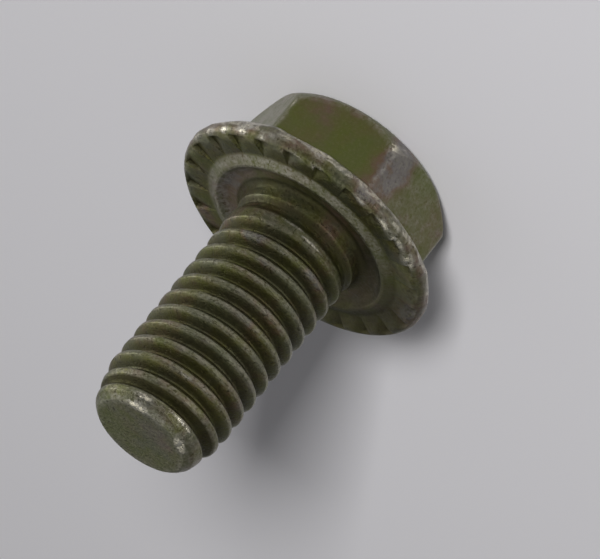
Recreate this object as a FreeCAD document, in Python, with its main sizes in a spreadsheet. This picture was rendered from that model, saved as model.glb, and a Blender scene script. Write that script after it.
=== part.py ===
import FreeCAD, Part
import math
import os
import Sketcher

os.makedirs("parts", exist_ok=True)
doc = FreeCAD.newDocument("flange_bolt")

# Driving sizes, in millimetres and degrees.
# The bolt stands on its head: +Z runs along the shank to the thread's tip,
# and Z = 0 is the bearing face, the raised ring under the flange.
SIZES = {
    # hexagon head
    "head_height": 6.5,
    "across_flats": 12.0,
    "crown_height": 1.6,
    "crown_face_diameter": 10.9,
    "crown_radius": 1.5,
    # flange
    "flange_diameter": 17.0,
    "rim_thickness": 1.4,
    "rim_radius": 0.9,
    "flange_top_rise": 0.75,
    # bearing side of the flange, its widths as shares of the way from collar to rim
    "recess_share": 0.352,
    "bearing_wall_share": 0.056,
    "bearing_ring_share": 0.053,
    "bearing_slope_share": 0.158,
    "recess_depth": 0.35,
    "valley_depth": 0.32,
    "tooth_crest_drop": 0.04,
    # locking teeth
    "tooth_count": 24,
    "tooth_depth": 0.38,
    "tooth_end_margin": 0.18,
    "tooth_ramp_share": 0.93,
    "tooth_wall_angle": 15.0,
    "tooth_position": 9.4,
    # shank
    "shank_length": 16.2,
    "collar_diameter": 8.1,
    "collar_height": 0.5,
    "neck_diameter": 7.5,
    "neck_start": 0.72,
    "neck_end": 1.55,
    "full_thread_start": 2.05,
    "tip_taper_length": 2.4,
    "tip_diameter": 6.7,
    "tip_face_diameter": 5.2,
    "tip_chamfer_height": 0.35,
    # thread
    "thread_diameter": 8.0,
    "thread_pitch": 1.25,
    "thread_root_diameter": 6.47,
    "thread_crest_flat": 0.156,
    "thread_flank_angle": 30.0,
    "thread_start": 1.66,
}

sheet = doc.addObject("Spreadsheet::Sheet", "sizes")
for row, (alias, number) in enumerate(SIZES.items(), start=1):
    sheet.set(f"A{row}", alias)
    sheet.set(f"B{row}", str(number))
    sheet.setAlias(f"B{row}", alias)
doc.recompute()


class Size:
    """A length that carries its number and the spreadsheet expression behind it."""

    def __init__(self, number, text):
        self.number = number
        self.text = text

    def __add__(self, other):
        other = as_size(other)
        return Size(self.number + other.number, f"({self.text} + {other.text})")

    def __sub__(self, other):
        other = as_size(other)
        return Size(self.number - other.number, f"({self.text} - {other.text})")

    def __mul__(self, factor):
        factor = as_size(factor)
        return Size(self.number * factor.number, f"({self.text} * {factor.text})")

    def __truediv__(self, divisor):
        divisor = as_size(divisor)
        return Size(self.number / divisor.number, f"({self.text} / {divisor.text})")

    def __neg__(self):
        return Size(-self.number, f"(0 - {self.text})")


def as_size(value):
    return value if isinstance(value, Size) else Size(value, repr(float(value)))


def size(alias):
    return Size(SIZES[alias], f"sizes.{alias}")


def tangent(alias):
    return Size(math.tan(math.radians(SIZES[alias])), f"tan(sizes.{alias} * 1 deg)")


def cosine(alias):
    return Size(math.cos(math.radians(SIZES[alias])), f"cos(sizes.{alias} * 1 deg)")


def sine(alias):
    return Size(math.sin(math.radians(SIZES[alias])), f"sin(sizes.{alias} * 1 deg)")


def square_root(value):
    return Size(math.sqrt(value.number), f"sqrt({value.text})")


# Sketches

ZERO = Size(0.0, "0")
# Free play past a surface, so that a cut clears it and a joined face stays hidden.
CLEAR = 0.5
# The notches' free play above the crests, small enough to keep them apart.
TOOTH_PLAY = 0.06


def origin_feature(body, role):
    return next(item for item in body.Origin.OriginFeatures if item.Role == role)


def new_sketch(body, role, name):
    sketch = body.newObject("Sketcher::SketchObject", name)
    sketch.AttachmentSupport = [(origin_feature(body, role), "")]
    sketch.MapMode = "FlatFace"
    return sketch


def bound(sketch, constraint, name, length):
    """Add a named constraint and tie it to the sheet."""
    index = sketch.addConstraint(constraint)
    sketch.renameConstraint(index, name)
    sketch.setExpression(f"Constraints.{name}", length.text)


def arc_between(start, end, radius, side):
    """The arc from start to end whose centre lies on the given side of the chord:
    +1 is left of the way from start to end, -1 is right of it."""
    chord = end - start
    half = chord.Length / 2
    left = FreeCAD.Vector(-chord.y, chord.x, 0) / chord.Length
    centre = (start + end) / 2 + left * side * math.sqrt(radius**2 - half**2)
    circle = Part.Circle(centre, FreeCAD.Vector(0, 0, 1), radius)
    first, last = (start, end) if side > 0 else (end, start)
    return Part.ArcOfCircle(circle, circle.parameter(first), circle.parameter(last))


def draw_outline(sketch, corners, rounds=None):
    """Draw a closed outline. Each corner is (name, across, up); the side that leaves
    the corner called name is an arc where rounds[name] gives (radius, side)."""
    rounds = rounds or {}
    points = [FreeCAD.Vector(across.number, up.number, 0) for name, across, up in corners]
    ends = []
    for index, (name, across, up) in enumerate(corners):
        start = points[index]
        end = points[(index + 1) % len(points)]
        if name in rounds:
            radius, side = rounds[name]
            number = sketch.addGeometry(arc_between(start, end, radius.number, side), False)
            ends.append((number, 1, 2) if side > 0 else (number, 2, 1))
        else:
            number = sketch.addGeometry(Part.LineSegment(start, end), False)
            ends.append((number, 1, 2))
    for index, (name, across, up) in enumerate(corners):
        number, start_point, end_point = ends[index]
        after = ends[(index + 1) % len(ends)]
        sketch.addConstraint(
            Sketcher.Constraint("Coincident", number, end_point, after[0], after[1])
        )
        bound(
            sketch,
            Sketcher.Constraint("DistanceX", -1, 1, number, start_point, across.number),
            f"{name}_across",
            across,
        )
        bound(
            sketch,
            Sketcher.Constraint("DistanceY", -1, 1, number, start_point, up.number),
            f"{name}_up",
            up,
        )
        if name in rounds:
            radius = rounds[name][0]
            bound(
                sketch,
                Sketcher.Constraint("Radius", number, radius.number),
                f"{name}_radius",
                radius,
            )


# The bolt is one forged piece

bolt = doc.addObject("PartDesign::Body", "bolt")
bolt.Label = "bolt"
bolt.Placement = FreeCAD.Placement()

# Outer radii and heights that several features share.
rim_radius = size("rim_radius")
half_rim = size("rim_thickness") / 2
rim_bulge = rim_radius - square_root(rim_radius * rim_radius - half_rim * half_rim)
tooth_edge = size("flange_diameter") / 2 - rim_bulge
collar_radius = size("collar_diameter") / 2
underside = tooth_edge - collar_radius
recess_edge = collar_radius + underside * size("recess_share")
bearing_inner = recess_edge + underside * size("bearing_wall_share")
bearing_outer = bearing_inner + underside * size("bearing_ring_share")
valley_radius = bearing_outer + underside * size("bearing_slope_share")
crest_radius = size("thread_diameter") / 2
root_radius = size("thread_root_diameter") / 2
corner_radius = size("across_flats") / 2 * (1 / math.cos(math.pi / 6))
rim_top = -(size("rim_thickness") + size("tooth_crest_drop"))
taper_start = size("shank_length") - size("tip_taper_length")


def turn_blank():
    """Flange and shank, turned about Z: the half section from the axis outwards."""
    sketch = new_sketch(bolt, "XZ_Plane", "blank_section")
    hidden_radius = size("across_flats") / 2 - CLEAR
    flange_under_head = rim_top - size("flange_top_rise")
    chamfer_start = size("shank_length") - size("tip_chamfer_height")
    corners = [
        ("core", ZERO, flange_under_head),
        ("cone_foot", hidden_radius, flange_under_head),
        ("rim_over", tooth_edge, rim_top),
        ("rim_under", tooth_edge, -size("tooth_crest_drop")),
        ("valley", valley_radius, -size("valley_depth")),
        ("bearing_out", bearing_outer, ZERO),
        ("bearing_in", bearing_inner, ZERO),
        ("recess_out", recess_edge, -size("recess_depth")),
        ("collar_foot", collar_radius, -size("recess_depth")),
        ("collar_top", collar_radius, size("collar_height")),
        ("neck_low", size("neck_diameter") / 2, size("neck_start")),
        ("neck_top", size("neck_diameter") / 2, size("neck_end")),
        ("crest_low", crest_radius, size("full_thread_start")),
        ("crest_top", crest_radius, taper_start),
        ("tip_edge", size("tip_diameter") / 2, chamfer_start),
        ("tip_face", size("tip_face_diameter") / 2, size("shank_length")),
        ("tip_centre", ZERO, size("shank_length")),
    ]
    draw_outline(sketch, corners, {"rim_over": (rim_radius, 1)})
    blank = bolt.newObject("PartDesign::Revolution", "blank")
    blank.Profile = sketch
    blank.ReferenceAxis = (origin_feature(bolt, "Z_Axis"), [""])
    blank.Angle = 360
    doc.recompute()


def add_head():
    """Hexagon head, with a corner on +X, standing in the flange."""
    sketch = new_sketch(bolt, "XY_Plane", "hexagon")
    sketch.setExpression("AttachmentOffset.Base.z", "0 - sizes.head_height")
    corners = []
    for index in range(6):
        turn = math.radians(60 * index)
        corners.append(
            (
                f"corner_{index}",
                corner_radius * math.cos(turn),
                corner_radius * math.sin(turn),
            )
        )
    draw_outline(sketch, corners)
    head = bolt.newObject("PartDesign::Pad", "head")
    head.Profile = sketch
    head.Length = SIZES["head_height"] - SIZES["rim_thickness"]
    head.setExpression("Length", "sizes.head_height - sizes.rim_thickness")
    doc.recompute()


def round_crown():
    """Turn the head's corners down to the round crown that a forged head has."""
    sketch = new_sketch(bolt, "XZ_Plane", "crown_section")
    face_radius = size("crown_face_diameter") / 2
    outside = corner_radius + CLEAR
    below = -(size("head_height") + CLEAR)
    corners = [
        ("face_low", face_radius, below),
        ("outside_low", outside, below),
        ("outside_high", outside, size("crown_height") - size("head_height")),
        ("corner", corner_radius, size("crown_height") - size("head_height")),
        ("face", face_radius, -size("head_height")),
    ]
    draw_outline(sketch, corners, {"corner": (size("crown_radius"), -1)})
    crown = bolt.newObject("PartDesign::Groove", "crown")
    crown.Profile = sketch
    crown.ReferenceAxis = (origin_feature(bolt, "Z_Axis"), [""])
    crown.Angle = 360
    doc.recompute()


def tooth_floor(radius):
    """Height of a notch's floor, which climbs inwards from the rim to the valley."""
    edge = size("tooth_crest_drop") + size("tooth_depth")
    climb = (edge - size("valley_depth")) / (tooth_edge - valley_radius)
    return climb * (tooth_edge - radius) - edge


def notch_section(name, radius):
    """A notch's section at one radius: floor, steep wall and long ramp, seen from the axis."""
    sketch = new_sketch(bolt, "YZ_Plane", name)
    # The section is turned from the head's corner on +X to the first notch.
    along = radius * cosine("tooth_position")
    aside = radius * sine("tooth_position")
    place = FreeCAD.Vector(aside.number, 0, along.number)
    turn = FreeCAD.Rotation(FreeCAD.Vector(0, 1, 0), SIZES["tooth_position"])
    sketch.AttachmentOffset = FreeCAD.Placement(place, turn)
    sketch.setExpression("AttachmentOffset.Base.x", aside.text)
    sketch.setExpression("AttachmentOffset.Base.z", along.text)
    sketch.setExpression("AttachmentOffset.Rotation.Angle", size("tooth_position").text)
    floor = tooth_floor(radius)
    top = as_size(TOOTH_PLAY) - size("tooth_crest_drop")
    spacing = radius * (2 * math.pi) / size("tooth_count")
    corners = [
        ("floor", ZERO, floor),
        ("wall_top", (top - floor) * tangent("tooth_wall_angle"), top),
        ("ramp_top", -(spacing * size("tooth_ramp_share")), top),
    ]
    draw_outline(sketch, corners)
    return sketch


def cut_notch():
    """One notch of the ratchet teeth: widest and deepest at the rim, it runs out in the
    valley. Seen from the tip, its ramp lies clockwise of its wall, so that the bolt
    tightens easily and is hard to loosen."""
    notch = bolt.newObject("PartDesign::SubtractiveLoft", "notch")
    notch.Profile = notch_section("notch_at_rim", tooth_edge - size("tooth_end_margin"))
    notch.Sections = [notch_section("notch_at_valley", valley_radius)]
    notch.Ruled = True
    notch.Closed = False
    doc.recompute()
    return notch


def pattern_teeth(notch):
    teeth = bolt.newObject("PartDesign::PolarPattern", "teeth")
    teeth.Originals = [notch]
    teeth.Axis = (origin_feature(bolt, "Z_Axis"), [""])
    teeth.Angle = 360
    teeth.Occurrences = SIZES["tooth_count"]
    teeth.setExpression("Occurrences", "sizes.tooth_count")
    bolt.Tip = teeth
    doc.recompute()


def cut_thread():
    """Right-hand thread, cut by sweeping the groove's section along a helix."""
    sketch = new_sketch(bolt, "XZ_Plane", "groove_section")
    outer = crest_radius + CLEAR
    flank_slope = tangent("thread_flank_angle")
    half_at_crest = (size("thread_pitch") - size("thread_crest_flat")) / 2
    half_root = half_at_crest - (crest_radius - root_radius) * flank_slope
    half_mouth = half_at_crest + (outer - crest_radius) * flank_slope
    start = size("thread_start")
    corners = [
        ("root_low", root_radius, start - half_root),
        ("mouth_low", outer, start - half_mouth),
        ("mouth_high", outer, start + half_mouth),
        ("root_high", root_radius, start + half_root),
    ]
    draw_outline(sketch, corners)
    thread = bolt.newObject("PartDesign::SubtractiveHelix", "thread")
    thread.Profile = sketch
    thread.ReferenceAxis = (origin_feature(bolt, "Z_Axis"), [""])
    thread.Mode = "pitch-height-angle"
    height = size("shank_length") - start + size("thread_pitch")
    thread.Pitch = SIZES["thread_pitch"]
    thread.setExpression("Pitch", "sizes.thread_pitch")
    thread.Height = height.number
    thread.setExpression("Height", height.text)
    thread.Angle = 0
    thread.LeftHanded = False
    thread.Reversed = False
    doc.recompute()


def checked_volume(step, before, grows):
    """Stop if the last step changed nothing or went the wrong way."""
    volume = bolt.Shape.Volume
    print(f"{step}: volume {volume:.2f} mm3, valid {bolt.Shape.isValid()}")
    if (volume > before) != grows or abs(volume - before) < 1e-3:
        raise RuntimeError(f"{step} did not change the bolt as it should")
    return volume


turn_blank()
volume = checked_volume("blank", 0.0, True)
add_head()
volume = checked_volume("head", volume, True)
round_crown()
volume = checked_volume("crown", volume, False)
first_notch = cut_notch()
volume = checked_volume("notch", volume, False)
pattern_teeth(first_notch)
volume = checked_volume("teeth", volume, False)
cut_thread()
volume = checked_volume("thread", volume, False)

doc.recompute()
for item in doc.Objects:
    if "Invalid" in item.State or "Error" in item.State:
        raise RuntimeError(f"{item.Name} failed: {item.State}")
if bolt.Shape.isNull() or not bolt.Shape.isValid():
    raise RuntimeError("the bolt has no valid shape")
if len(bolt.Shape.Solids) != 1:
    raise RuntimeError("the bolt is not one solid")
bolt.Shape.exportStep(f"parts/{bolt.Label}.step")
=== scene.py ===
# A hex flange bolt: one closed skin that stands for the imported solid, its worn plated
# finish, and the floor, camera and lamps of the picture.

import math
import random

import bpy
from mathutils import Matrix, Vector, noise


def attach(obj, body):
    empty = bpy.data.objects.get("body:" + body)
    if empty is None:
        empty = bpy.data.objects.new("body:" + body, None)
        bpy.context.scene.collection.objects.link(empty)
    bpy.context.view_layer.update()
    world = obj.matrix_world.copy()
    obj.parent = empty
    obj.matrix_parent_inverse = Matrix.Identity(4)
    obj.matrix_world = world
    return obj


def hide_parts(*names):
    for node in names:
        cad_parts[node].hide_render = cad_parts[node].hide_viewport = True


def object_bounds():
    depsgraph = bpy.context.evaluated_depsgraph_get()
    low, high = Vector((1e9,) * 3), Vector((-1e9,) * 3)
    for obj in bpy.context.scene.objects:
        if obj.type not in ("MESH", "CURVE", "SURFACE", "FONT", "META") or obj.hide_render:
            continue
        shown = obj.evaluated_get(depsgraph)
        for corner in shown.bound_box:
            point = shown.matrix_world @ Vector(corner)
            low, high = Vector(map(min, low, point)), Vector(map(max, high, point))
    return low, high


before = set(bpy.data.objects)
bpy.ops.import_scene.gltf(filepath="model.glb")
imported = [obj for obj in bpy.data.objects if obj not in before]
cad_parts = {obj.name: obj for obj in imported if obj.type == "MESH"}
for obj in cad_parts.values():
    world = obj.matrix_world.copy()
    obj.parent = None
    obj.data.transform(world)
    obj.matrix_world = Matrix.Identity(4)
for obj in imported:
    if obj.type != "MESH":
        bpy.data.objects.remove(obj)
cad_low, cad_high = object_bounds()

MM = 0.001
random.seed(8)

# Sizes of the bolt in millimetres, with Z = 0 at the bearing face and +Z towards the tip.
# The flange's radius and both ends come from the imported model's box.

FLANGE_R = round(cad_high[0] / MM, 2)
TIP = round(cad_high[2] / MM, 2)
HEAD_TOP = round(cad_low[2] / MM, 2)

# Flange: the rim's rounding and the heights of the two corners that it rounds, the
# valley's radius, where the recess starts, and the slope of the upper side.

RIM_ROUND = 0.66
RIM_UNDER = -0.04
RIM_OVER = -1.44
VALLEY_R = 6.58
RECESS_START = (4.5, -0.365, 0, 0)
FLANGE_SLOPE = 0.28

# Head: half its width across flats, how much its corners are rounded off, its fillet on
# the flange and its flat face.

FLATS_R = 6.0
CORNER_CUT = 0.1
FILLET = 0.2
HEAD_FACE_R = 4.4

# Thread: radii, pitch, the flat on its crests, how softly crests and roots are rounded,
# where a groove's middle is at angle 0, and a radius that clears it.

CREST_R = 4.0
ROOT_R = 3.27
PITCH = 1.25
CREST_FLAT = 0.31
CREST_SOFTNESS = 0.13
ROOT_SOFTNESS = 0.32
THREAD_START = 1.66
OUTSIDE_R = CREST_R + 0.2

# Its last groove follows the tip's taper: heights where that sets in and fades out, and
# the height above which all that is cut is painted dark as shade.

TAPER_IN = (13.5, 14.2)
TAPER_OUT = (14.95, 15.35)
GROOVE_SHADE_FROM = 14.3

# Ratchet teeth: the first wall's angle in degrees, and the height of a notch's floor at
# one radius, from which it rises inwards. The ramp's rise is reached at a share of the
# step, the steep wall starts at another, and outside a radius the notch's end rises.

TEETH = 24
TOOTH_STEP = 360 / TEETH
TOOTH_AT = 9.4
NOTCH_FLOOR = -0.5
NOTCH_R = 8.05
FLOOR_SLOPE = 0.13
RAMP_RISE = 0.5
RAMP_SHARE = 0.93
WALL_FROM = 0.85
WALL_SLOPE = 3.4
NOTCH_END_R = 8.02
END_SLOPE = 2.4

# Columns of points stand at these angles beside a tooth's wall and a corner of the head,
# and elsewhere no further apart than the step, all in degrees.

BESIDE_WALL = (-0.5, 0.0, 0.3, 0.62, 1.1)
BESIDE_CORNER = (-2.4, -1.3, -0.5, 0.5, 1.3, 2.4)
COLUMN_STEP = 1.7
LEAST_STEP = 0.2

# The thread's climbing rows stop below the first height and above the second.

ROWS_TOP = 15.98
ROWS_BOTTOM = 0.95
ROW_GAP = 0.02

# Rows across one pitch, as shares of it from the groove's middle.

PITCH_ROWS = [
    0.0, 0.07, 0.12, 0.17, 0.24, 0.31, 0.37, 0.41, 0.45,
    0.5, 0.55, 0.59, 0.63, 0.7, 0.78, 0.86, 0.93,
]

# Small flats that loose bolts hammer into the rim, and how far round one can reach.

RIM_FLATS = 280
FLAT_REACH = 11

# The angle in the middle of the flange's side where the shank's shadow falls, kept dark and unworn
# as painted shade.

SHADED_SIDE = 145


def smooth(low, high, value):
    """0 below low, 1 above high, with a smooth way between."""
    t = min(max((value - low) / (high - low), 0.0), 1.0)
    return t * t * (3 - 2 * t)


def soft_min(a, b, width):
    """The lower value, rounded where the two are less than the width apart."""
    h = max(width - abs(a - b), 0.0) / width
    return min(a, b) - h * h * width / 4


def soft_max(a, b, width):
    return -soft_min(-a, -b, width)


def apart(a, b):
    """Degrees between two directions round the axis."""
    return abs((a - b + 180) % 360 - 180)


def hum(point, size, seed=0.0):
    """Smooth noise from -1 to 1 whose lumps are about size across."""
    return noise.noise(point / size + Vector((seed, 2.7 * seed, -seed)))


def rounded(corners):
    """A half section through (r, z, rounding radius, rows in the rounding) corners."""
    points = [corners[0][:2]]
    for before, corner, after in zip(corners, corners[1:], corners[2:]):
        r, z, radius, rows = corner
        here = Vector((r, z))
        back = (Vector(before[:2]) - here).normalized()
        ahead = (Vector(after[:2]) - here).normalized()
        half = back.angle(ahead) / 2
        centre = here + (back + ahead).normalized() * (radius / math.sin(half))
        start = here + back * (radius / math.tan(half)) - centre
        end = here + ahead * (radius / math.tan(half)) - centre
        turn = start.angle_signed(end)
        for i in range(rows + 1):
            arm = start.copy()
            arm.rotate(Matrix.Rotation(-turn * i / rows, 2))
            points.append((centre.x + arm.x, centre.y + arm.y))
    return points + [corners[-1][:2]]


def spaced(points, gap):
    """The same section with more points, none further apart than the gap."""
    out = [points[0]]
    for (r0, z0), (r1, z1) in zip(points, points[1:]):
        count = max(1, math.ceil(math.hypot(r1 - r0, z1 - z0) / gap))
        for i in range(1, count + 1):
            out.append((r0 + (r1 - r0) * i / count, z0 + (z1 - z0) * i / count))
    return out


# Shank: its turned outline without the thread, from the tip down to the recess.

SHANK = rounded(
    [
        (0.6, TIP, 0, 0),
        (3.0, TIP, 0.25, 4),
        (3.4, 15.82, 0.3, 4),
        (CREST_R, 13.75, 2.0, 3),
        (CREST_R, 1.44, 0.1, 3),
        (3.78, 1.1, 0.12, 3),
        (3.74, 0.8, 0.12, 3),
        (4.03, 0.44, 0.14, 3),
        (4.08, -0.36, 0.36, 4),
        RECESS_START,
    ]
)
TIP_ROWS = spaced(SHANK, 0.45)
NECK_ROWS = spaced(SHANK, 0.16)


def turned_radius(z):
    """Radius of the plain shank at height z."""
    for (r0, z0), (r1, z1) in zip(SHANK, SHANK[1:]):
        if z1 <= z <= z0 and z0 > z1:
            return r0 + (r1 - r0) * (z0 - z) / (z0 - z1)
    return SHANK[0][0] if z > TIP else SHANK[-1][0]


def groove_radius(turn, z):
    """Radius of the thread's groove at height z, turn being the angle in whole turns."""
    along = (z - THREAD_START) / PITCH - turn
    which = math.floor(along + 0.5)
    away = abs(along - which) * PITCH
    tapered = smooth(*TAPER_IN, z) * (1 - smooth(*TAPER_OUT, z))
    crest = CREST_R - 0.75 * tapered * (CREST_R - turned_radius(z))
    flank = crest - ((PITCH - CREST_FLAT) / 2 - away) * math.sqrt(3)
    r = soft_max(flank, ROOT_R - 0.1 * tapered, ROOT_SOFTNESS)
    # The first groove runs out over about half a turn.
    depth = smooth(-0.1, 0.5, which + turn)
    return OUTSIDE_R - (OUTSIDE_R - r) * depth


def shank_radius(turn, z):
    return soft_min(groove_radius(turn, z), turned_radius(z), CREST_SOFTNESS)


# Underside: recess, bearing ring, valley, rim and the edge of the flange's upper side.

UNDERSIDE = spaced(
    rounded(
        [
            RECESS_START,
            (5.32, -0.355, 0.8, 4),
            (5.75, 0.0, 0.16, 3),
            (5.94, 0.0, 0.16, 3),
            (VALLEY_R, -0.32, 0.45, 3),
            (FLANGE_R, RIM_UNDER, RIM_ROUND, 8),
            (FLANGE_R, RIM_OVER, RIM_ROUND, 7),
            (7.2, -1.67, 0, 0),
        ]
    ),
    0.21,
)


def tooth_phase(angle):
    """0 at a tooth's wall, rising along the ramp to 1 at the next wall."""
    return ((TOOTH_AT - angle) % TOOTH_STEP) / TOOTH_STEP


def notch_height(r, angle):
    """Height of the ratchet cut at a radius: a long ramp, then a steep wall."""
    phase = tooth_phase(angle)
    floor = NOTCH_FLOOR + (NOTCH_R - r) * FLOOR_SLOPE
    height = floor + RAMP_RISE * phase / RAMP_SHARE
    if phase > WALL_FROM:
        to_wall = (1.0 - phase) * math.radians(TOOTH_STEP) * r
        height = max(height, floor + to_wall * WALL_SLOPE)
    return max(height, floor + max(r - NOTCH_END_R, 0.0) * END_SLOPE)


def column_angles():
    """Angles of the columns of points, crowded at the teeth's walls and the head's corners."""
    special = set()
    for k in range(TEETH):
        for off in BESIDE_WALL:
            special.add(round((TOOTH_AT + k * TOOTH_STEP + off) % 360, 3))
    for k in range(6):
        for off in BESIDE_CORNER:
            special.add(round((60 * k + off) % 360, 3))
    rough = sorted(special)
    angles = []
    for a, b in zip(rough, rough[1:] + [rough[0] + 360]):
        if angles and a - angles[-1] < LEAST_STEP:
            continue
        angles.append(a)
        gaps = max(1, math.ceil((b - a) / COLUMN_STEP))
        angles += [a + (b - a) * i / gaps for i in range(1, gaps)]
    return [a for a in angles if a < 360]


# Head: the flange's upper side, the hexagon's flank, the round crown and the flat face.

CROWN = rounded(
    [(6.93, -3.5, 0, 0), (6.93, -4.95, 1.6, 6), (5.62, -6.44, 1.5, 5), (HEAD_FACE_R, HEAD_TOP, 0, 0)]
)


def crown_height(r):
    """Height of the crown's round surface at radius r."""
    for (r0, z0), (r1, z1) in zip(CROWN, CROWN[1:]):
        if r1 <= r <= r0 and r0 > r1:
            return z0 + (z1 - z0) * (r0 - r) / (r0 - r1)
    return HEAD_TOP if r < CROWN[-1][0] else CROWN[1][1]


def from_corner(angle):
    """Degrees to the hexagon's nearest corner."""
    return abs((angle + 30) % 60 - 30)


def hexagon_radius(angle):
    """Distance from the axis to the head's flank, with softly rounded corners."""
    flat = FLATS_R / math.cos(math.radians(30 - from_corner(angle)))
    corner = FLATS_R / math.cos(math.radians(30)) - CORNER_CUT
    return soft_min(flat, corner, CORNER_CUT)


def flange_top(r):
    return RIM_OVER - 0.03 - FLANGE_SLOPE * (7.95 - r)


def head_rows(angle):
    """Points down the head at one angle."""
    flat = hexagon_radius(angle)
    inner, outer = flat + 0.22, 7.15
    rows = []
    for share in (0.1, 0.4, 0.7, 1.0):
        r = max(outer + (inner - outer) * share, inner)
        rows.append((r, flange_top(r)))
    foot = flange_top(flat) - 0.03
    for turn in (18, 40, 65, 90):
        a = math.radians(turn)
        rows.append((flat + FILLET - FILLET * math.sin(a), foot - FILLET * (1 - math.cos(a))))
    start = rows[-1][1]
    edge = crown_height(flat)
    for share in (0.1, 0.25, 0.42, 0.6, 0.77, 0.9):
        rows.append((flat, start + (edge + 0.08 - start) * share))
    rows.append((flat - 0.003, edge + 0.07))
    rows.append((flat - 0.02, edge - 0.005))
    for i in range(1, 13):
        r = flat - 0.03 + (HEAD_FACE_R - flat) * i / 12
        rows.append((r, crown_height(r)))
    return rows + [(3.4, HEAD_TOP), (2.2, HEAD_TOP), (1.0, HEAD_TOP)]


def rim_flats():
    """Planes that cut small flats into the rim: (angle, direction, distance along it)."""
    flats = []
    inner = FLANGE_R - RIM_ROUND
    middle = (RIM_UNDER + RIM_OVER) / 2
    for i in range(RIM_FLATS):
        angle = random.uniform(0, 360)
        tilt = random.uniform(-62, 62)
        depth = random.uniform(0.012, 0.045)
        a, t = math.radians(angle), math.radians(tilt)
        way = Vector((math.cos(a) * math.cos(t), math.sin(a) * math.cos(t), math.sin(t)))
        centre = Vector((inner * math.cos(a), inner * math.sin(a), middle))
        flats.append((angle, way, way.dot(centre) + RIM_ROUND - depth))
    return flats


FLATS = rim_flats()


def hammered(point, angle):
    """The point pushed under every flat near it, and how far it was pushed."""
    pushed = 0.0
    for at, way, reach in FLATS:
        if apart(at, angle) < FLAT_REACH:
            over = way.dot(point) - reach
            if over > 0:
                point = point - way * over
                pushed += over
    return point, pushed


# Stains in the film and painted shade, as (angle, radius, height, reach round the axis in degrees,
# reach in mm across it, change of tint, darkening). A tint goes from green up to purple grey;
# darkening is painted shade.

STAINS_AND_SHADE = [
    # Patches beside the head's front corner and on its faces
    (235, 6.3, -4.2, 13, 2.6, 0.6, 0.0),
    (263, 6.0, -3.8, 14, 1.7, -0.35, 0.0),
    (215, 6.2, -5.4, 9, 1.0, -0.3, 0.0),
    (288, 6.2, -5.2, 9, 0.9, 0.3, 0.0),
    # The recess and the collar, with painted shade in the recess on the side where the shank's
    # shadow falls
    (345, 4.9, -0.35, 50, 0.8, 0.06, 0.0),
    (172, 5.0, -0.3, 48, 1.0, 0.12, 1.0),
    (225, 4.1, 0.2, 45, 0.9, 0.2, 0.0),
    # The valley, the ring and the teeth, mostly painted shade on the side where the shank's shadow
    # falls
    (138, 7.3, -0.3, 48, 1.5, 0.1, 0.9),
    (117, 6.4, -0.2, 25, 0.6, -0.3, 0.4),
    (118, 5.7, -0.1, 30, 0.8, 0.1, 0.9),
    (163, 7.8, -0.1, 14, 0.7, 0.4, -0.35),
    (30, 7.6, -0.3, 14, 0.5, 0.3, 0.0),
    # The tip's face, and painted shade in the end of the thread's groove beside it
    (225, 1.6, 16.2, 50, 1.1, 0.35, 0.0),
    (20, 2.3, 16.2, 30, 0.8, -0.3, 0.0),
    (163, 3.6, 14.6, 9, 0.45, 0.0, 1.0),
    # Reddish and greenish places along the thread and on the tip's taper
    (283, 3.9, 3.2, 14, 0.6, 0.45, 0.0),
    (258, 3.9, 4.4, 9, 0.5, 0.4, 0.0),
    (215, 3.9, 3.0, 16, 0.9, 0.35, 0.0),
    (246, 3.9, 8.1, 12, 0.6, 0.35, 0.0),
    (290, 3.9, 11.9, 12, 0.6, -0.35, 0.0),
    (268, 3.4, 15.8, 12, 0.5, 0.5, 0.0),
]

# Spots painted bright, partly rubbed metal and partly painted glints, as (angle, radius, height,
# reach round the axis, reach across it).

WORN_AND_GLINT_SPOTS = [
    # The head's front corner and the edge at its left corner
    (241, 6.6, -5.3, 4, 0.45),
    (236, 6.4, -5.75, 3, 0.3),
    (244, 6.75, -4.9, 3, 0.25),
    (300, 6.8, -4.4, 0.6, 0.5),
    # The tip's edge and taper
    (274, 3.42, 15.62, 13, 0.2),
    (273, 3.0, 16.1, 13, 0.26),
    (227, 3.55, 15.42, 17, 0.11),
    (207, 3.0, 16.12, 13, 0.28),
    # The rim, from the left round to the front and right
    (334, 8.45, -0.4, 5, 0.24),
    (322, 8.45, -0.42, 4, 0.24),
    (312, 8.45, -0.4, 4, 0.26),
    (301, 8.42, -0.35, 3.5, 0.22),
    (291, 8.4, -0.3, 3, 0.2),
    (273, 8.1, -0.1, 4, 0.3),
    (263, 8.1, -0.1, 3, 0.3),
    (242, 8.25, -0.17, 3.5, 0.3),
    (228, 8.25, -0.17, 5, 0.38),
    (217.6, 8.25, -0.2, 5, 0.4),
    (207, 8.25, -0.25, 6, 0.42),
    # Crests of the thread
    (255, 4.0, 3.45, 8, 0.15),
    (233, 4.0, 5.95, 9, 0.12),
    (236, 4.0, 8.4, 10, 0.12),
    (252, 4.0, 13.4, 8, 0.15),
    (262, 4.0, 1.5, 12, 0.1),
    (240, 4.0, 1.75, 14, 0.1),
]


def nearness(spot, angle, r, z):
    """1 in the middle of a spot, down to 0 outside it."""
    at, at_r, at_z, reach_angle, reach = spot
    turned = apart(at, angle) / reach_angle
    if turned > 1.3:
        return 0.0
    away = math.hypot(turned, math.hypot(r - at_r, z - at_z) / reach)
    return 1 - smooth(0.4, 1.3, away)


def stain_and_shade_at(angle, r, z):
    """Change of tint by the stains, and darkening as painted shade, at a place."""
    tint, dark = 0.0, 0.0
    for stain_and_shade_spot in STAINS_AND_SHADE:
        share = nearness(stain_and_shade_spot[:5], angle, r, z)
        tint += stain_and_shade_spot[5] * share
        dark += stain_and_shade_spot[6] * share
    return tint, dark


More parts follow.
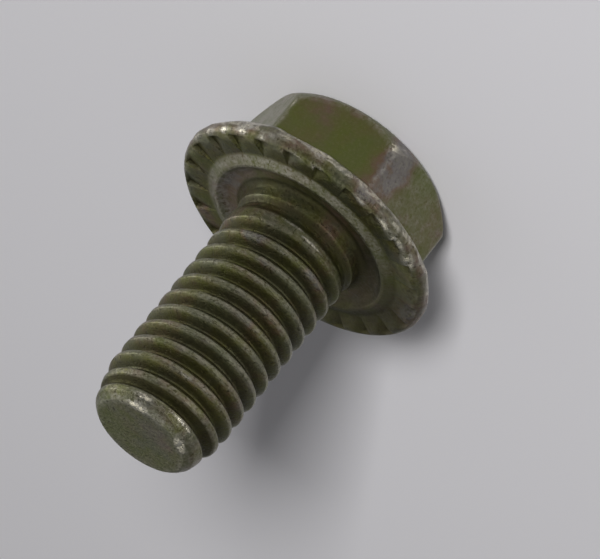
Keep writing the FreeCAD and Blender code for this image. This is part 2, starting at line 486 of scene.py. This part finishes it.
# Brightness of rubbed metal and of painted glints at a place.
def worn_and_glinting(angle, r, z):
    return sum(nearness(spot, angle, r, z) for spot in WORN_AND_GLINT_SPOTS)


def speckled(r, z):
    """How strongly specks show in the film: less on the head, the ring and the recess."""
    if r > 5.3 and z < -1.7:
        return 0.2
    if 4.5 < r < 6.6 and z > -0.5:
        return 0.25
    return 1.0


# Each function below gives points of one column as (key, r, z, wear with painted glints, depth as
# painted shade, tint). Points on neighbouring columns that have the same key are joined.


def tip_points(turn):
    """The tip's face, down to where the thread's rows begin."""
    points = []
    for i, (r, z) in enumerate(TIP_ROWS):
        if z > ROWS_TOP + ROW_GAP:
            points.append((("tip", i), r, z, 0.22 + smooth(2.5, 2.95, r) * 0.4, 0.0, 0.2))
    return points + [(("top", 0), shank_radius(turn, ROWS_TOP), ROWS_TOP, 0.6, 0.0, 0.3)]


def thread_points(turn):
    """The thread, whose rows climb round the shank with it and have whole numbers as keys."""
    rows = []
    for number in range(-2, 15):
        for i, share in enumerate(PITCH_ROWS):
            z = THREAD_START + (number + share + turn) * PITCH
            if ROWS_BOTTOM + ROW_GAP < z < ROWS_TOP - ROW_GAP:
                rows.append((number * len(PITCH_ROWS) + i, z))
    points = []
    for key, z in reversed(rows):
        r = shank_radius(turn, z)
        below = turned_radius(z) - r
        crest = (1 - smooth(0.02, 0.1, below)) * smooth(1.3, 1.45, z)
        crest *= 0.55 + 0.45 * smooth(1.9, 2.4, z)
        # Painted shade: the lower flanks in each groove are darkened, and near the tip all that is
        # cut.
        groove_shade = smooth(0.1, 0.25, below) * (0.76 - 0.7 * smooth(3.5, 3.9, r)) * smooth(3.2, 3.4, r)
        if z > GROOVE_SHADE_FROM:
            groove_shade = smooth(0.01, 0.04, below)
        points.append((key, r, z, crest * 0.36, groove_shade, 0.38))
    return points


def neck_points(turn):
    """The neck, the collar under it and the foot in the recess, with painted shade in the step under
    the neck and at the foot.
    """
    points = []
    for i, (r, z) in enumerate(NECK_ROWS):
        if z < ROWS_BOTTOM:
            z_at = min(z, ROWS_BOTTOM - 0.005)
            cut = shank_radius(turn, z_at) if z > 0.5 else r
            # Painted shade in the step under the neck and at the foot in the recess.
            neck_step_shade = smooth(0.45, 0.6, z) * (1 - smooth(0.8, 1.0, z))
            foot = 1 - smooth(-0.2, 0.05, z)
            points.append((("neck", i), cut, z_at, 0.0, max(0.8 * neck_step_shade, 0.85 * foot), 0.35))
    return points


def underside_points(angle):
    """Recess, ring, valley, teeth and rim, with painted shade in the notches, the recess's inner
    corner and the valley, and a painted highlight on the rim's upper edge. Round the side where the
    shank's shadow falls, the recess and ring are left dark and unworn as painted shade.
    """
    # Painted shade: wear on the ring and recess fades out round the side where the shank's shadow
    # falls.
    unshaded = 0.1 + 0.9 * smooth(35, 75, apart(angle, SHADED_SIDE))
    towards_wall = smooth(0.5, 0.9, tooth_phase(angle))
    points = []
    for i, (r, z) in enumerate(UNDERSIDE[1:]):
        cut = z
        if VALLEY_R - 0.1 < r < 8.45 and z > -0.6:
            cut = soft_min(z, notch_height(r, angle), 0.03)
        ring = smooth(5.05, 5.4, r) * (1 - smooth(6.4, 6.6, r)) * unshaded
        recess = 1 - smooth(5.45, 5.6, r)
        rim = smooth(7.95, 8.3, r) * (1 - 0.1 * smooth(0.3, 0.5, -z))
        # A painted highlight line along the rim's upper edge.
        edge_highlight = (1 - smooth(0.05, 0.2, abs(z + 1.32))) * smooth(8.0, 8.2, r)
        rim = max(rim, edge_highlight)
        if z > -0.35 and cut > z - 0.1:
            lip = towards_wall * smooth(7.5, 7.8, r) * (1 - smooth(8.2, 8.35, r))
            rim = max(rim, 0.9 * lip)
        wear_and_glint = max(0.72 * ring, 0.18 * recess * unshaded, rim)
        # Painted shade in the notches, in the recess's inner corner and in the valley.
        notch_shade = smooth(0.12, 0.32, z - cut) * (0.5 + 0.6 * smooth(7.5, 7.9, r))
        corner = 0.4 * (1 - smooth(4.1, 4.4, r))
        valley_shade = 0.15 * smooth(6.2, 6.45, r) * (1 - smooth(6.7, 7.1, r))
        tint = 0.35 + 0.15 * recess + 0.25 * smooth(8.2, 8.45, r)
        points.append((("under", i), r, cut, wear_and_glint, max(notch_shade, corner, valley_shade), tint))
    return points


def head_points(angle):
    """The flange's upper side and the head, with worn corners, two faces painted greyer and lighter
    as painted sheen, and painted shade in the fillet at the head's foot.
    """
    flat = hexagon_radius(angle)
    edge_height = crown_height(flat)
    # Painted sheen: two faces are painted greyer and lighter.
    left_face_sheen = 0.5 * (1 - smooth(25, 31, apart(330, angle)))
    right_face_sheen = 0.3 * (1 - smooth(25, 31, apart(210, angle)))
    points = []
    for i, (r, z) in enumerate(head_rows(angle)):
        flank = 1.0 if abs(r - flat) < 0.03 else 0.0
        corner = (1 - smooth(0.3, 2.0, from_corner(angle))) * flank
        edge = 1 - smooth(0.0, 0.16, abs(z - edge_height)) if r > 5.5 else 0.0
        wear_and_glint = max(0.6 * corner, 0.6 * edge, left_face_sheen * flank, right_face_sheen * flank)
        # Painted shade in the fillet at the head's foot.
        foot = (1 - smooth(0.0, 0.35, r - flat)) * (1 - flank) if z > -4 else 0.0
        points.append((("head", i), r, z, wear_and_glint, 0.6 * foot, 0.35))
    return points


def column_points(angle):
    """All points of one column, from beside the tip's centre to beside the head's."""
    turn = angle / 360
    shank = tip_points(turn) + thread_points(turn) + neck_points(turn)
    return shank + underside_points(angle) + head_points(angle)


def uneven(key, angle, r, z, wear_and_glint):
    """Where a point ends up on the uneven, hammered surface, and the wear and painted glints it has
    there.
    """
    a = math.radians(angle)
    point = Vector((r * math.cos(a), r * math.sin(a), z))
    if isinstance(key, int):
        push = 0.012 * hum(point, 0.9, 5.0) + 0.014 * wear_and_glint * hum(point, 0.35, 2.0)
    else:
        push = 0.01 * hum(point, 1.5, 5.0)
    if r > 7.6:
        point, pushed = hammered(point, angle)
        push += 0.012 * hum(point, 0.4, 3.0) - 0.01
        wear_and_glint *= 0.2 + 0.9 * smooth(0.006, 0.03, pushed)
    reach = math.hypot(point.x, point.y)
    scale = min(reach + push, FLANGE_R) / reach
    height = max(min(point.z, TIP), HEAD_TOP)
    return Vector((point.x * scale, point.y * scale, height)), wear_and_glint


def strip(left, right):
    """Faces between two columns of (key, vertex). A row that only one of them has becomes
    one more corner of a face."""
    places = {key: n for n, (key, vertex) in enumerate(right)}
    faces = []
    m, n = 0, 0
    for j in range(1, len(left)):
        if left[j][0] in places:
            k = places[left[j][0]]
            corners = [vertex for key, vertex in left[m : j + 1]]
            corners += [vertex for key, vertex in reversed(right[n : k + 1])]
            faces.append(tuple(corners))
            m, n = j, k
    return faces


def build_bolt():
    """One closed skin: strips between neighbouring columns, and a fan at each end.

    Its marks hold the wear with painted glints, the depth as painted shade, the tint and the specks'
    strength at each point."""
    vertices, columns, marks = [], [], []
    for angle in column_angles():
        column = []
        for key, r, z, wear_and_glint, depth, tint in column_points(angle):
            point, wear_and_glint = uneven(key, angle, r, z, wear_and_glint)
            column.append((key, len(vertices)))
            vertices.append(tuple(point * MM))
            more_tint, more_dark = stain_and_shade_at(angle, r, z)
            wear_and_glint = min(wear_and_glint + worn_and_glinting(angle, r, z), 1.6)
            marks.append((wear_and_glint, min(depth + more_dark, 1.0), tint + more_tint, speckled(r, z)))
        columns.append(column)
    tip, head = len(vertices), len(vertices) + 1
    vertices += [(0.0, 0.0, TIP * MM), (0.0, 0.0, HEAD_TOP * MM)]
    marks += [(0.0, 0.0, 0.3, 1.0), (0.0, 0.0, 0.3, 1.0)]
    # One turn on, every thread row has climbed by one pitch.
    per = len(PITCH_ROWS)
    again = [(key - per if isinstance(key, int) else key, vertex) for key, vertex in columns[0]]
    faces = []
    for left, right in zip(columns, columns[1:] + [again]):
        faces.append((tip, left[0][1], right[0][1]))
        faces.append((head, right[-1][1], left[-1][1]))
        faces += strip(left, right)
    mesh = bpy.data.meshes.new("plated_bolt")
    mesh.from_pydata(vertices, [], faces)
    layer = mesh.attributes.new("marks", "FLOAT_COLOR", "POINT")
    for item, mark in zip(layer.data, marks):
        item.color = mark
    mesh.validate()
    mesh.update()
    for polygon in mesh.polygons:
        polygon.use_smooth = True
    piece = bpy.data.objects.new("plated_bolt", mesh)
    bpy.context.scene.collection.objects.link(piece)
    return piece


# Materials


class Tree:
    """Short ways to add and join the nodes of one material."""

    def __init__(self, name):
        self.made = bpy.data.materials.new(name)
        self.made.use_nodes = True
        self.nodes = self.made.node_tree.nodes
        self.links = self.made.node_tree.links
        self.shader = self.nodes["Principled BSDF"]

    def put(self, socket, value):
        if isinstance(value, bpy.types.NodeSocket):
            self.links.new(value, socket)
        else:
            socket.default_value = value

    def marks(self):
        """The four values that the mesh holds at each point."""
        node = self.nodes.new("ShaderNodeAttribute")
        node.attribute_name = "marks"
        parts = self.nodes.new("ShaderNodeSeparateColor")
        self.links.new(node.outputs["Color"], parts.inputs["Color"])
        return [parts.outputs[name] for name in ("Red", "Green", "Blue")] + [node.outputs["Alpha"]]

    def noise(self, per_mm, detail=3.0, roughness=0.55, shift=0.0):
        """Noise from 0 to 1 with so many lumps a millimetre."""
        coords = self.nodes.new("ShaderNodeTexCoord")
        mapping = self.nodes.new("ShaderNodeMapping")
        mapping.inputs["Location"].default_value = (shift, -shift, 0.6 * shift)
        mapping.inputs["Scale"].default_value = (1 / MM, 1 / MM, 1 / MM)
        self.links.new(coords.outputs["Object"], mapping.inputs["Vector"])
        node = self.nodes.new("ShaderNodeTexNoise")
        self.links.new(mapping.outputs["Vector"], node.inputs["Vector"])
        node.inputs["Scale"].default_value = per_mm
        node.inputs["Detail"].default_value = detail
        node.inputs["Roughness"].default_value = roughness
        return node.outputs["Fac"]

    def calc(self, operation, a, b, c=0.0):
        node = self.nodes.new("ShaderNodeMath")
        node.operation = operation
        for socket, value in zip(node.inputs, (a, b, c)):
            self.put(socket, value)
        return node.outputs["Value"]

    def times(self, a, b):
        return self.calc("MULTIPLY", a, b)

    def span(self, value, low, high, to_low=0.0, to_high=1.0):
        """The value taken smoothly from one range to another."""
        node = self.nodes.new("ShaderNodeMapRange")
        node.interpolation_type = "SMOOTHSTEP"
        for name, given in (
            ("Value", value),
            ("From Min", low),
            ("From Max", high),
            ("To Min", to_low),
            ("To Max", to_high),
        ):
            self.put(node.inputs[name], given)
        return node.outputs["Result"]

    def mix(self, share, a, b):
        node = self.nodes.new("ShaderNodeMix")
        node.data_type = "RGBA"
        self.put(node.inputs["Factor"], share)
        self.put(node.inputs["A"], a)
        self.put(node.inputs["B"], b)
        return node.outputs["Result"]

    def ramp(self, value, stops):
        node = self.nodes.new("ShaderNodeValToRGB")
        self.put(node.inputs["Fac"], value)
        elements = node.color_ramp.elements
        while len(elements) < len(stops):
            elements.new(0.5)
        for element, (place, colour) in zip(elements, stops):
            element.position = place
            element.color = colour
        return node.outputs["Color"]

    def bump(self, height, distance):
        node = self.nodes.new("ShaderNodeBump")
        node.inputs["Strength"].default_value = 1.0
        node.inputs["Distance"].default_value = distance
        self.put(node.inputs["Height"], height)
        self.links.new(node.outputs["Normal"], self.shader.inputs["Normal"])


OLIVE_GREEN = (0.108, 0.125, 0.026, 1)
OLIVE = (0.122, 0.115, 0.038, 1)
RED_BROWN = (0.155, 0.10, 0.065, 1)
PURPLE_GREY = (0.152, 0.138, 0.13, 1)
BARE_ZINC = (0.46, 0.44, 0.385, 1)
BRIGHT_ZINC = (0.80, 0.75, 0.58, 1)
LIGHT_OLIVE = (0.25, 0.24, 0.12, 1)
GREY_GREEN = (0.115, 0.12, 0.075, 1)
# Dark olive for specks and fine grain, and for painted shade in hollows.
SPECK_AND_SHADE_OLIVE = (0.052, 0.047, 0.021, 1)
FLOOR_COLOUR = (0.66, 0.65, 0.67, 1)


def film_colour(t, tint, specks, patch, grain, fine):
    """The film's colour, from green to purple by tint, in broad, middling and fine mottles."""
    broad = t.noise(0.28, 2.0)
    place = t.calc("ADD", tint, t.span(broad, 0.3, 0.7, -0.16, 0.16))
    place = t.calc("ADD", place, t.span(patch, 0.3, 0.7, -0.14, 0.14))
    stops = [(0.05, OLIVE_GREEN), (0.4, OLIVE), (0.65, RED_BROWN), (0.85, PURPLE_GREY)]
    film = t.ramp(place, stops)
    grey = t.span(t.noise(0.5, 3.0, shift=31.0), 0.42, 0.62, 0.0, 0.7)
    film = t.mix(t.times(grey, specks), film, GREY_GREEN)
    coarse = t.calc("MULTIPLY_ADD", specks, 0.7, 0.3)
    film = t.mix(t.times(t.span(grain, 0.45, 0.7, 0.0, 0.5), coarse), film, LIGHT_OLIVE)
    return t.mix(t.times(t.span(fine, 0.6, 0.75, 0.0, 0.55), coarse), film, SPECK_AND_SHADE_OLIVE)


def plated_steel():
    """Zinc under an olive film that shimmers green to purple, worn thin on the edges, with painted
    shade in its hollows and painted glints.
    """
    t = Tree("plated_steel")
    wear_and_glint, depth, tint, specks = t.marks()
    patch = t.noise(1.1, 4.0, shift=7.0)
    grain = t.noise(5.0, 4.0, 0.65, shift=3.0)
    fine = t.noise(14.0, 3.0, 0.6, shift=11.0)
    pits = t.noise(4.5, 2.0, 0.6, shift=19.0)
    chips = t.noise(2.8, 3.0, 0.6, shift=23.0)

    # Dark specks, and painted shade in the grooves, notches and recesses
    film = film_colour(t, tint, specks, patch, grain, fine)
    speck = t.times(t.span(pits, 0.56, 0.66), specks)
    film = t.mix(t.times(speck, t.span(patch, 0.4, 0.65, 0.3, 0.8)), film, SPECK_AND_SHADE_OLIVE)
    film = t.mix(t.times(depth, t.span(patch, 0.2, 0.8, 0.7, 0.95)), film, SPECK_AND_SHADE_OLIVE)

    # Film worn thin, and chipped off where the wear is strongest; the painted glints and highlight
    # line show the same way
    thin = t.times(wear_and_glint, t.span(grain, 0.3, 0.7, 0.25, 1.0))
    thin = t.times(thin, t.span(patch, 0.3, 0.65, 0.35, 1.0))
    thin = t.times(thin, t.span(pits, 0.56, 0.66, 1.0, 0.2))
    thin = t.calc("MINIMUM", thin, 1.0)
    bare = t.times(t.span(wear_and_glint, 0.75, 1.3), t.span(chips, 0.42, 0.58))
    colour = t.mix(bare, t.mix(thin, film, BARE_ZINC), BRIGHT_ZINC)
    t.put(t.shader.inputs["Base Color"], colour)
    t.put(t.shader.inputs["Metallic"], 0.92)

    # Rougher where the painted shade lies, smoother where it is rubbed, under a thin clear coat
    rough = t.calc("ADD", t.span(grain, 0.35, 0.65, 0.3, 0.5), t.times(depth, 0.12))
    rough = t.calc("SUBTRACT", rough, t.times(thin, 0.08))
    rough = t.calc("SUBTRACT", rough, t.times(bare, 0.1))
    t.put(t.shader.inputs["Roughness"], rough)
    t.put(t.shader.inputs["Coat Weight"], t.calc("MULTIPLY_ADD", depth, -0.15, 0.15))
    t.put(t.shader.inputs["Coat Roughness"], 0.2)

    height = t.calc("ADD", t.times(grain, 0.7), t.times(fine, 0.3))
    height = t.calc("SUBTRACT", height, t.times(speck, 0.3))
    t.bump(height, 0.05 * MM)
    return t.made


def floor_paint():
    t = Tree("floor_paint")
    t.put(t.shader.inputs["Base Color"], FLOOR_COLOUR)
    t.put(t.shader.inputs["Roughness"], 0.9)
    return t.made


bolt = build_bolt()
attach(bolt, "root")
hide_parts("bolt")
bolt.data.materials.append(plated_steel())

# Floor, under the head on which the bolt stands

FLOOR_SIZE = 6.0

bpy.ops.mesh.primitive_plane_add(size=FLOOR_SIZE, location=(0, 0, HEAD_TOP * MM))
floor = bpy.context.object
floor.name = "floor"
floor.data.materials.append(floor_paint())

# Camera: above the tip's end, rolled so that the head lies at the picture's upper right. It
# aims at a place some pixels right of and below the bearing face's centre.

ELEVATION = 26.5
AZIMUTH = -108.37
DISTANCE = 0.390
ROLL_SINE, ROLL_COSINE = 0.6235, 0.7818
PICTURE_WIDTH = 600
SENSOR_WIDTH = 36.0
PIXELS_PER_MM = 17.17
PIXELS_RIGHT, PIXELS_DOWN = 1.5, 41.1


def direction(turn, elevation):
    """Unit vector at so many degrees left of the camera's own side, and up."""
    a = math.radians(AZIMUTH + turn)
    e = math.radians(elevation)
    return Vector((math.cos(e) * math.cos(a), math.cos(e) * math.sin(a), math.sin(e)))


def add_camera():
    """The camera, aimed a little beside the origin, with its roll about the view's axis."""
    back = direction(0, ELEVATION)
    side = direction(-90, 0)
    lift = (Vector((0, 0, 1)) - back * back.z) / math.cos(math.radians(ELEVATION))
    right = lift * -ROLL_SINE + side * ROLL_COSINE
    up = lift * -ROLL_COSINE - side * ROLL_SINE
    data = bpy.data.cameras.new("camera")
    data.sensor_width = SENSOR_WIDTH
    data.lens = SENSOR_WIDTH * PIXELS_PER_MM * DISTANCE / MM / PICTURE_WIDTH
    data.clip_start, data.clip_end = 0.01, 20.0
    camera = bpy.data.objects.new("camera", data)
    bpy.context.scene.collection.objects.link(camera)
    pixel = MM / PIXELS_PER_MM
    target = right * (PIXELS_RIGHT * pixel) - up * (PIXELS_DOWN * pixel)
    turned = Matrix((right, up, back)).transposed().to_4x4()
    camera.matrix_world = Matrix.Translation(target + back * DISTANCE) @ turned
    bpy.context.scene.camera = camera


def lamp(name, way, distance, width, height, watts):
    """A soft lamp that shines at the bolt's middle from the given direction."""
    data = bpy.data.lights.new(name, "AREA")
    data.shape = "RECTANGLE"
    data.energy = watts
    data.size = width
    data.size_y = height
    made = bpy.data.objects.new(name, data)
    bpy.context.scene.collection.objects.link(made)
    made.location = Vector((0, 0, 5 * MM)) + way * distance
    made.rotation_mode = "QUATERNION"
    made.rotation_quaternion = way.to_track_quat("Z", "Y")
    return made


add_camera()

# The key lights the floor and stays out of the metal's reflections.

key = lamp("key", direction(9, 27), distance=0.7, width=0.13, height=0.13, watts=6.7)
key.visible_glossy = False

# The others are seen in the metal, and throw no second shadow on the floor.

reflected = [
    lamp("behind", direction(138, 42), distance=0.8, width=1.0, height=0.9, watts=1.25),
    lamp("above", direction(0, 84), distance=0.7, width=1.6, height=0.15, watts=1.0),
    lamp("left", direction(104, 10), distance=0.5, width=0.25, height=0.2, watts=0.6),
    lamp("right", direction(-38, 12), distance=0.6, width=0.1, height=0.15, watts=0.28),
]
for card in reflected:
    card.visible_diffuse = False

world = bpy.data.worlds.new("world")
bpy.context.scene.world = world
world.use_nodes = True
background = world.node_tree.nodes["Background"]
background.inputs["Color"].default_value = (0.8, 0.8, 0.82, 1)
background.inputs["Strength"].default_value = 0.2

bpy.context.scene.view_settings.view_transform = "Standard"
